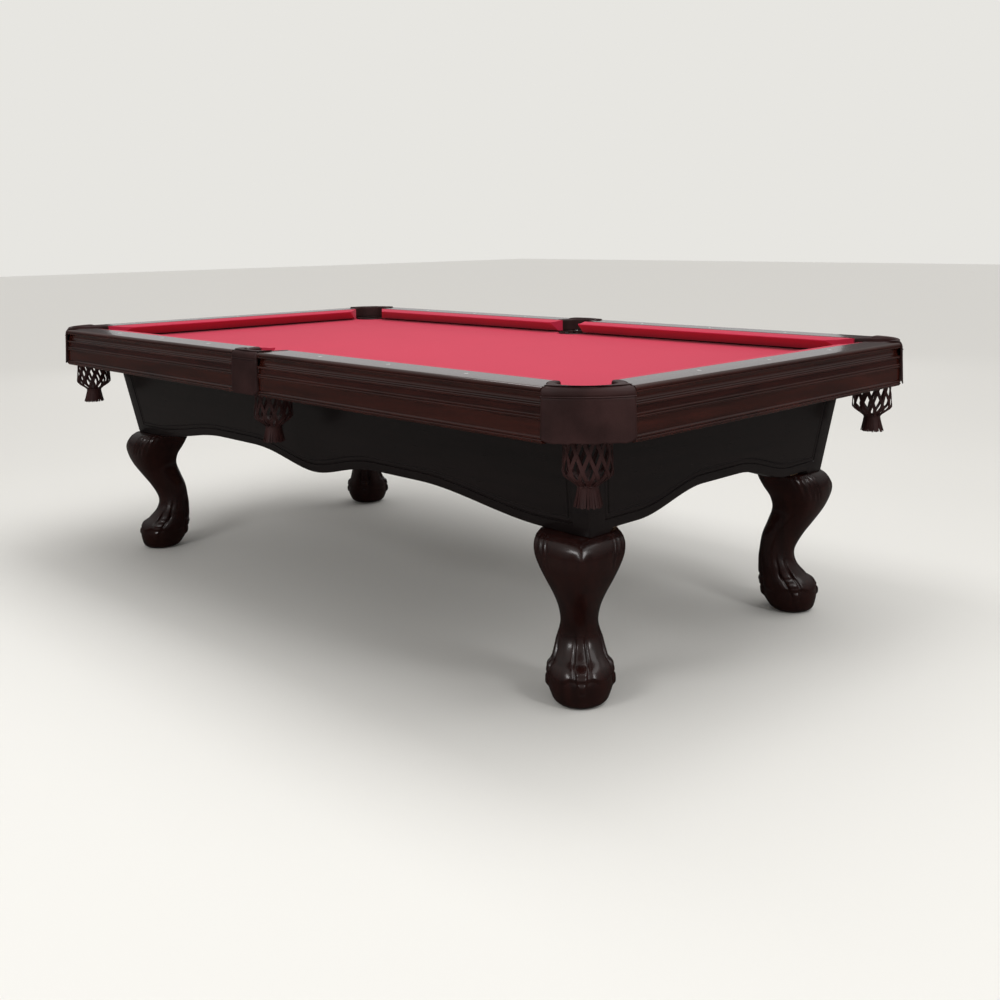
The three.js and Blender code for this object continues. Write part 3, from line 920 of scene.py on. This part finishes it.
def corner_foot(column):
    """Lower edge of a corner skirt: rounded ends and a gentle wave."""
    ends = 15 * MM * (1 - min(1, min(column, 1 - column) / 0.08) ** 0.5)
    wave = 1.5 * MM * abs(math.sin(column * math.pi * 7)) + 0.7 * MM * math.sin(column * 21)
    return LEATHER_FOOT + 2.2 * MM + ends + wave


def side_foot(column):
    """Lower edge of a side skirt, with its two rounded corners."""
    ends = 16 * MM * (1 - min(1, min(column, 1 - column) / 0.16) ** 0.5)
    return LEATHER_FOOT + 1.5 * MM + ends


class TABLE_OT_leathers(bpy.types.Operator):
    """Makes the six sewn pocket leathers"""
    bl_idname = "pool_table.leathers"
    bl_label = "Pocket leathers"

    def execute(self, context):
        corner_hole = CORNER_NET_RADIUS + 4 * MM
        corner = leather_shell(CORNER_NET, corner_hole + 3 * MM, 119, -29, corner_path(), corner_foot)
        add_to(corner, leather_ring(CORNER_NET, corner_hole, 169, -79, BED_TOP + 6 * MM))
        stitches = stitch_row(corner_path(), 30 * MM, 4.2 * MM, 0.25 * MM)
        side_hole = SIDE_NET_RADIUS + 4 * MM
        side = leather_shell(SIDE_NET, side_hole + 13 * MM, 147, 33, side_path(), side_foot)
        add_to(side, leather_ring(SIDE_NET, side_hole, 180, 0, BED_TOP + 6 * MM))
        side_stitches = stitch_row(side_path(), 30 * MM, 4.2 * MM, 0.25 * MM)
        for shape, places in ((corner, CORNERS), (side, SIDES)):
            place_copies(shape, places, "sewn_leather", "pocket_leather", "pocket_leather", 60)
        for thread, places in ((stitches, CORNERS), (side_stitches, SIDES)):
            place_copies(thread, places, "stitches", "", "strap_leather")
        for name, _, _ in CORNERS + SIDES:
            dress(f"pocket_iron_{name}", "cast_iron")
        return {"FINISHED"}


# ---- pocket nets ----

STRIP_SECTION = ((-1, -1), (-1, 1), (1, 1), (1, -1))
STRAP_LEAN = 1.35
GATHERED = 0.38


def net_radius(height, radius, low, top):
    """Radius of the bag at a height: straight sides that gather at the bottom."""
    share = (height - low) / (top - low)
    gather = smoothstep(-0.03, 0.17, share)
    return radius * lerp(GATHERED, 1, gather) * (0.97 + 0.03 * math.cos(math.tau * share))


def strap(centre, radius, start, lean, low, top, width, lift):
    """One flat strap that winds down a bag from its rim to its foot."""
    thick = 0.9 * MM

    def spine(share):
        height = lerp(top, low, share)
        reach = net_radius(height, radius, low, top) - 2.2 * MM + lift * math.cos(share * math.tau * 3)
        angle = start + lean * share
        return around(centre, reach, angle, height)

    def place(column, row):
        across, deep = STRIP_SECTION[round(row * 4) % 4]
        point = spine(column)
        along = (spine(min(1, column + 0.01)) - spine(max(0, column - 0.01))).normalized()
        outward = Vector((point.x - centre.x, point.y - centre.y, 0)).normalized()
        sideways = along.cross(outward).normalized()
        return point + sideways * across * width / 2 + outward * deep * thick

    return close(mapped_grid(26, 4, place))


def hoop(centre, radius, height, tube):
    made = bmesh.new()
    ring = bmesh.ops.create_circle(
        made, segments=10, radius=tube,
        matrix=Matrix.Translation((radius, 0, 0)) @ Matrix.Rotation(math.radians(90), 4, "X"))["verts"]
    bmesh.ops.spin(
        made, geom=ring + made.edges[:], cent=(0, 0, 0), axis=(0, 0, 1), angle=math.tau, steps=48,
        use_merge=True)
    bmesh.ops.translate(made, verts=made.verts, vec=(centre.x, centre.y, height))
    bmesh.ops.remove_doubles(made, verts=made.verts, dist=1e-6)
    return outward(made)


def tassel_strip(centre, angle, top_radius, foot_radius, top, foot, width):
    """One narrow strip of the fringe."""
    wave = math.sin(angle * 7.3) * 1.6 * MM
    spoke = Vector((math.cos(angle), math.sin(angle), 0))
    side = Vector((-spoke.y, spoke.x, 0))

    def place(column, row):
        across, deep = STRIP_SECTION[round(row * 4) % 4]
        reach = lerp(top_radius, foot_radius, column ** 1.3) + wave * column
        height = lerp(top, foot + abs(wave) * 1.5, column)
        point = Vector((centre.x, centre.y, height)) + spoke * (reach + deep * 0.6 * MM)
        return point + side * (across * width / 2 + wave * 0.5 * column)

    return close(mapped_grid(6, 4, place))


def make_net(centre, radius, node):
    low_corner, high_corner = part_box(node)
    settings = sizes()
    top = high_corner.z - 2 * MM
    gather = low_corner.z + 44 * MM
    made = bmesh.new()
    count = settings.strap_count
    for index in range(count):
        start = math.tau * index / count
        for lean, lift in ((STRAP_LEAN, 0.7 * MM), (-STRAP_LEAN, -0.7 * MM)):
            add_to(made, strap(centre, radius, start, lean, gather, top, settings.strap_width, lift))
    add_to(made, hoop(centre, radius - 2.5 * MM, top, 2.4 * MM))
    add_to(made, hoop(centre, radius * GATHERED, gather, 2.6 * MM))
    foot_radius = radius * 0.53
    for ring, inset in enumerate((0, 5 * MM)):
        for index in range(settings.tassel_count):
            angle = math.tau * (index + 0.5 * ring) / settings.tassel_count
            add_to(made, tassel_strip(
                centre, angle, radius * GATHERED - inset, foot_radius - inset, gather + 1 * MM,
                low_corner.z + ring * 2 * MM, 5.0 * MM))
    return made


class TABLE_OT_nets(bpy.types.Operator):
    """Weaves the six strap nets and their fringes"""
    bl_idname = "pool_table.nets"
    bl_label = "Pocket nets"

    def execute(self, context):
        corner = make_net(CORNER_NET, CORNER_NET_RADIUS * 0.94, "pocket_net_back_right")
        side = make_net(SIDE_NET, SIDE_NET_RADIUS * 0.96, "pocket_net_back_side")
        for shape, places in ((corner, CORNERS), (side, SIDES)):
            place_copies(shape, places, "strap_net", "pocket_net", "strap_leather", 50)
        return {"FINISHED"}


# ---- cabinet ----

def cabinet_at(height):
    """Half length and half width of the cabinet's outer face at a height."""
    thickness = sizes().apron_thickness + CLEARANCE
    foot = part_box("corner_block_back_right")[1] + Vector((thickness, thickness, 0))
    share = (height - APRON_FOOT) / (APRON_TOP.z - APRON_FOOT)
    return lerp(foot.x, APRON_TOP.x + CLEARANCE, share), lerp(foot.y, APRON_TOP.y, share)


LONG_RISE, LONG_DROP, LONG_ENDS = 46 * MM, 44 * MM, 45 * MM
SHORT_RISE, SHORT_ENDS = 56 * MM, 46 * MM
ARRIS_ROWS = 3
PLAIN_ROWS = 10


def long_edge(along):
    """Lower edge of a side apron: a drop in the middle and an arch each side of it."""
    distance = abs(along)
    drop = LONG_DROP * (1 - smoothstep(0, 0.320, distance)) ** 1.4
    end = LONG_ENDS * smoothstep(0.480, 0.920, distance)
    return APRON_FOOT + max(0, LONG_RISE - drop - end)


def short_edge(along):
    """Lower edge of an end apron: one arch between level ends."""
    return APRON_FOOT + SHORT_RISE - SHORT_ENDS * smoothstep(0.075, 0.315, abs(along))


# Across a cut line: distance from its middle in millimetres, and the share of its depth.
LINE_SECTION = ((-8, 0), (-6.2, 1), (-3.4, 0.45), (3.4, 0.45), (6.2, 1), (8, 0))


def edge_rows(inset, rounding):
    """Grid lines in from an edge, as (distance, depth): a rounded arris and then the cut line."""
    depth = sizes().groove_depth
    rows = [(0, rounding), (rounding * 0.3, rounding * 0.3), (rounding, 0)]
    rows += [(inset + step * MM, share * depth) for step, share in LINE_SECTION]
    return rows + [(inset + 20 * MM, 0)]


def apron_board(edge, half_of, face_of, leg_start, columns):
    """A leaning board in the X-Z plane facing +Y, its lower edge shaped and a line cut round it."""
    low_rows = edge_rows(sizes().groove_inset, 1.5 * MM)
    side_rows = edge_rows(sizes().groove_side_inset, 4 * MM)
    last_low, last_side = len(low_rows) - 1, len(side_rows) - 1
    rows = last_low + PLAIN_ROWS
    spans = columns + 2 * last_side
    foot_half = half_of(APRON_FOOT)

    def along_at(index):
        """Place along the board for a grid line, and how deep the line is cut there."""
        if index <= last_side:
            distance, depth = side_rows[index]
            return distance - foot_half, depth
        if index >= spans - last_side:
            distance, depth = side_rows[spans - index]
            return foot_half - distance, depth
        inner = foot_half - side_rows[-1][0]
        return lerp(-inner, inner, (index - last_side) / (spans - 2 * last_side)), 0

    def front(column, row):
        across, up = round(column * spans), round(row * rows)
        along, side_depth = along_at(across)
        shaped = edge(along)
        if up < ARRIS_ROWS:
            low = shaped if abs(along) < leg_start else APRON_FOOT
            height, low_depth = low + low_rows[up][0], low_rows[up][1]
        elif up <= last_low:
            height, low_depth = shaped + low_rows[up][0], low_rows[up][1]
        else:
            share = (up - last_low) / PLAIN_ROWS
            height, low_depth = lerp(shaped + low_rows[-1][0], APRON_TOP.z, share), 0
        inside = min(across, spans - across)
        if ARRIS_ROWS <= inside < last_side and ARRIS_ROWS <= up < last_low:
            outermost = min(inside, up) - ARRIS_ROWS
            depth = LINE_SECTION[outermost][1] * sizes().groove_depth
        elif inside < ARRIS_ROWS:
            depth = max(side_depth, low_depth if up < ARRIS_ROWS else 0)
        elif up < ARRIS_ROWS:
            depth = low_depth
        elif inside < last_side:
            depth = side_depth if up >= last_low else 0
        else:
            depth = low_depth
        half = half_of(height)
        return Vector((along * half / foot_half, face_of(height) - depth, height))

    thickness = sizes().apron_thickness

    def back(column, row):
        point = front(column, row)
        half = half_of(point.z)
        return Vector((point.x * (half - thickness) / half, face_of(point.z) - thickness, point.z))

    made = mapped_grid(spans, rows, front)
    rear = mapped_grid(spans, rows, back)
    bmesh.ops.reverse_faces(rear, faces=rear.faces)
    add_to(made, rear)
    bmesh.ops.bridge_loops(made, edges=[item for item in made.edges if item.is_boundary])
    return outward(made)


class TABLE_OT_cabinet(bpy.types.Operator):
    """Makes the four leaning apron boards of the cabinet"""
    bl_idname = "pool_table.cabinet"
    bl_label = "Cabinet aprons"

    def execute(self, context):
        long = apron_board(
            long_edge, lambda z: cabinet_at(z)[0] - 0.2 * MM, lambda z: cabinet_at(z)[1],
            leg_start=0.94, columns=150)
        sides = [(WIDTH_NAME[y], 1, y) for y in SIGNS]
        place_copies(long, sides, "panelled_apron", "apron", "cabinet_wood_x", 30)
        short = apron_board(
            short_edge, lambda z: cabinet_at(z)[1], lambda z: cabinet_at(z)[0],
            leg_start=0.41, columns=90)
        turn = Matrix.Rotation(math.radians(-90), 3, "Z")
        bmesh.ops.rotate(short, cent=(0, 0, 0), matrix=turn, verts=short.verts)
        place_copies(short, ENDS, "panelled_apron", "apron", "cabinet_wood_y", 30)
        for name, _, _ in CORNERS:
            dress(f"corner_block_{name}", "frame_wood_z")
        for name in ("left", "centre", "right"):
            dress(f"cross_beam_{name}", "frame_wood_y")
        for name in ("front", "back"):
            dress(f"long_beam_{name}", "frame_wood_x")
        return {"FINISHED"}


# ---- legs ----

# Height, outward and inward reach from the cabinet's corner along its diagonal, half width and
# squareness of the leg's section (2 is round, less turns an edge outwards), in millimetres.
LEG_SECTIONS = (
    (0, -16, -104, 44, 2.0), (4, -6, -114, 55, 2.0), (14, 3, -126, 66, 2.0), (36, 10, -141, 76, 2.0),
    (60, 10, -146, 77, 2.0), (84, -2, -149, 72, 2.0), (106, -27, -151, 60, 2.0),
    (131, -48, -151, 53, 2.0), (155, -54.5, -151, 46, 1.95), (180, -48, -149, 44, 1.85),
    (214, -27, -142, 49, 1.8), (249, 1, -127, 60, 1.7), (286, 30, -114, 76, 1.55),
    (318, 48, -120, 91, 1.45), (345, 54, -137, 103, 1.38), (368, 49, -150, 106, 1.36),
    (385, 36, -157, 101, 1.4), (395.7, 20, -162, 89, 1.5),
)
TOE_ANGLES = (0, 88, 180, 272)


def spline(rows, height, index):
    """A smooth value between rows of a table whose first item is the height."""
    last = len(rows) - 2
    at = next((i for i in range(last + 1) if height <= rows[i + 1][0]), last)
    points = [rows[max(0, min(len(rows) - 1, at + step))] for step in (-1, 0, 1, 2)]
    start, end = points[1], points[2]
    span = end[0] - start[0]
    share = min(1, max(0, (height - start[0]) / span))

    def slope(first, second):
        return (second[index] - first[index]) / max(1e-6, second[0] - first[0]) * span

    begin = slope(points[0], points[2]) if points[0] is not points[1] else slope(start, end)
    finish_slope = slope(points[1], points[3]) if points[3] is not points[2] else slope(start, end)
    square, cube = share * share, share ** 3
    return (
        (2 * cube - 3 * square + 1) * start[index] + (cube - 2 * square + share) * begin
        + (3 * square - 2 * cube) * end[index] + (cube - square) * finish_slope)


def bell(value, middle, width):
    return math.exp(-((value - middle) / width) ** 2)


def leg_carving(angle, height, reach):
    """What carving adds to the reach of the plain leg, in millimetres."""
    added = 0.0
    if height < 190:
        away = min(abs((angle - toe + 180) % 360 - 180) for toe in TOE_ANGLES)
        side = math.radians(away) * reach
        width = lerp(6.5, 12, smoothstep(44, 84, height)) - 4 * smoothstep(96, 140, height)
        toe = 1 - smoothstep(width - 2.5, width + 3.5, side)
        tendon = smoothstep(92, 100, height) * (1 - smoothstep(138, 178, height))
        added += 2.6 * tendon * toe - 3.0 * tendon * bell(side, width + 4.5, 3.2)
        knuckle = 4.8 * bell(height, 84, 9) - 2.6 * bell(height, 98, 4) - 3.0 * bell(height, 66, 4)
        claw = 3.6 * smoothstep(34, 46, height) * (1 - smoothstep(70, 80, height))
        added += (knuckle + claw) * toe
        web_foot = 62 + 9 * bell(side, 24, 16)
        web = smoothstep(web_foot - 3.5, web_foot + 3.5, height) * (1 - toe)
        web *= 1 - smoothstep(90, 150, height)
        under = (1 - smoothstep(web_foot - 3.5, web_foot + 3.5, height)) * smoothstep(2, 26, height)
        added += 1.8 * web * bell(side, 32, 16)
        added -= 2.8 * under * (1 - toe * smoothstep(34, 46, height))
        added -= 4.0 * smoothstep(56, 84, height) * (1 - smoothstep(96, 130, height)) * bell(
            side, width + 5.5, 3.6)
    knee = smoothstep(318, 346, height) * (1 - smoothstep(388, 395, height))
    if knee > 0:
        away = abs((angle + 180) % 360 - 180)
        ribs = smoothstep(56, 60, away) * (1 - smoothstep(98, 104, away))
        added -= 4.4 * knee * ribs * (0.5 + 0.5 * math.cos(math.radians((away - 58) * 360 / 11)))
        ridge = smoothstep(300, 345, height) * (1 - smoothstep(352, 372, height))
        added += 2.2 * ridge * bell(away, 0, 5) - 1.2 * ridge * bell(away, 13, 5)
    return added


def make_leg():
    """A carved cabriole leg, its corner pointing along the table's diagonal."""
    top = LEG_TOP / MM
    rings = 156
    columns = 192

    def plain(angle, height):
        outward, inward, half, power = (spline(LEG_SECTIONS, height, i) for i in (1, 2, 3, 4))
        reach = (outward - inward) / 2
        cosine, sine = math.cos(angle), math.sin(angle)
        scale = (abs(cosine) ** power + abs(sine) ** power) ** (-1 / power)
        return (outward + inward) / 2, reach * cosine * scale, half * sine * scale

    def place(column, row):
        height = top * row
        angle = math.tau * column
        middle, x, y = plain(angle, height)
        reach = math.hypot(x, y)
        turned = math.degrees(math.atan2(y, x)) % 360
        grown = (reach + leg_carving(turned, height, reach)) / reach
        return Vector((middle + x * grown, y * grown, height)) * MM

    made = close(mapped_grid(columns, rings, place))
    turn = Matrix.Translation(LEG_CORNER) @ Matrix.Rotation(math.radians(45), 4, "Z")
    bmesh.ops.transform(made, matrix=turn, verts=made.verts)
    return made


class TABLE_OT_legs(bpy.types.Operator):
    """Carves the four cabriole legs"""
    bl_idname = "pool_table.legs"
    bl_label = "Carved legs"

    def execute(self, context):
        place_copies(make_leg(), CORNERS, "carved_leg", "leg", "leg_wood_z", 70)
        return {"FINISHED"}


# ---- stage ----

CAMERA_PLACE = (2.7447, -2.345, 1.0729)
CAMERA_YAW, CAMERA_DOWN, CAMERA_ROLL = 44.11, 2.373, -0.638
CAMERA_LENS = 41.43
CAMERA_SHIFT = (-0.0491, -0.2207)
SKY_POWER, SKY_SPREAD = 1.15, 60

# Name, place, aim, size in X and Y, and watts of each soft light.
LIGHTS = (
    ("overhead", (0, 0, 2.6), (0, 0, 0.7), (2.4, 0.9), 22),
    ("left_window", (0.6, -4.2, 2.9), (0.8, -0.5, 0.4), (1.5, 0.8), 36),
    ("right_window", (4.8, -0.4, 2.9), (1.0, -0.4, 0.4), (0.8, 1.5), 36),
    ("far_card", (-4.2, 4.0, 1.5), (0, 0, 0.8), (6.0, 1.8), 17),
)


def add_light(name, location, target, size, power):
    light = bpy.data.lights.new(name, "AREA")
    light.shape = "RECTANGLE"
    light.size, light.size_y = size
    light.energy = power
    lamp = bpy.data.objects.new(name, light)
    bpy.context.scene.collection.objects.link(lamp)
    lamp.location = location
    lamp.rotation_euler = (Vector(target) - Vector(location)).to_track_quat("-Z", "Y").to_euler()
    lamp.visible_camera = False


def make_world():
    """Pale surroundings, brighter overhead, that leave the level view darker for the gloss."""
    world = bpy.data.worlds.new("studio")
    bpy.context.scene.world = world
    sky = Nodes(world)
    height = sky.node("SeparateXYZ", {}, {0: sky.node("TexCoord", {}, {}, "Generated")}, "Z")
    stops = (0.02, (0.045, 0.043, 0.045)), (0.9, (0.62, 0.61, 0.59))
    reflected = sky.node("ValToRGB", {"stops": stops}, {0: height})
    shown = sky.node("Background", {}, {"Color": (0.50, 0.49, 0.48)})
    for ray, colour in (("Is Glossy Ray", reflected), ("Is Camera Ray", tuple(finishes().floor))):
        shown = sky.by_ray(ray, shown, sky.node("Background", {}, {"Color": colour}))
    sky.show("World Output", shown)


class TABLE_OT_stage(bpy.types.Operator):
    """Sets the floor, lights and camera"""
    bl_idname = "pool_table.stage"
    bl_label = "Stage"

    def execute(self, context):
        scene = context.scene
        made = bmesh.new()
        bmesh.ops.create_grid(made, x_segments=1, y_segments=1, size=30)
        floor = loose_object(made, "floor")
        floor.data.materials.append(finish("floor"))
        make_world()
        sun = bpy.data.lights.new("sky", "SUN")
        sun.energy, sun.angle = SKY_POWER, math.radians(SKY_SPREAD)
        sky = bpy.data.objects.new("sky", sun)
        sky.rotation_euler = (math.radians(-14), math.radians(12), 0)
        scene.collection.objects.link(sky)
        for light in LIGHTS:
            add_light(*light)
        camera = bpy.data.objects.new("camera", bpy.data.cameras.new("camera"))
        scene.collection.objects.link(camera)
        scene.camera = camera
        camera.location = CAMERA_PLACE
        yaw = Matrix.Rotation(math.radians(CAMERA_YAW), 4, "Z")
        tilt = Matrix.Rotation(math.radians(90 - CAMERA_DOWN), 4, "X")
        roll = Matrix.Rotation(math.radians(CAMERA_ROLL), 4, "Z")
        camera.rotation_euler = (yaw @ tilt @ roll).to_euler()
        camera.data.lens = CAMERA_LENS
        camera.data.shift_x, camera.data.shift_y = CAMERA_SHIFT
        camera.data.clip_end = 100
        scene.view_settings.view_transform = "Standard"
        return {"FINISHED"}


class TABLE_PT_panel(bpy.types.Panel):
    """Lists the table's pieces and settings"""
    bl_idname = "TABLE_PT_panel"
    bl_label = "Pool table"
    bl_space_type = "VIEW_3D"
    bl_region_type = "UI"
    bl_category = "Pool table"

    def draw(self, context):
        layout = self.layout
        for operator in OPERATORS:
            layout.operator(operator.bl_idname)
        for settings in (context.scene.table_sizes, context.scene.table_finishes):
            box = layout.box()
            for name in settings.__annotations__:
                box.prop(settings, name)


OPERATORS = (
    TABLE_OT_stage, TABLE_OT_rails, TABLE_OT_skirts, TABLE_OT_sights, TABLE_OT_cushions, TABLE_OT_bed,
    TABLE_OT_leathers, TABLE_OT_nets, TABLE_OT_cabinet, TABLE_OT_legs,
)
CLASSES = (TableSizes, TableFinishes, *OPERATORS, TABLE_PT_panel)


def register():
    for item in CLASSES:
        bpy.utils.register_class(item)
    bpy.types.Scene.table_sizes = PointerProperty(type=TableSizes)
    bpy.types.Scene.table_finishes = PointerProperty(type=TableFinishes)


def unregister():
    del bpy.types.Scene.table_finishes
    del bpy.types.Scene.table_sizes
    for item in reversed(CLASSES):
        bpy.utils.unregister_class(item)


def main():
    register()
    for operator in OPERATORS:
        group, name = operator.bl_idname.split(".")
        getattr(getattr(bpy.ops, group), name)()


if __name__ == "__main__":
    main()
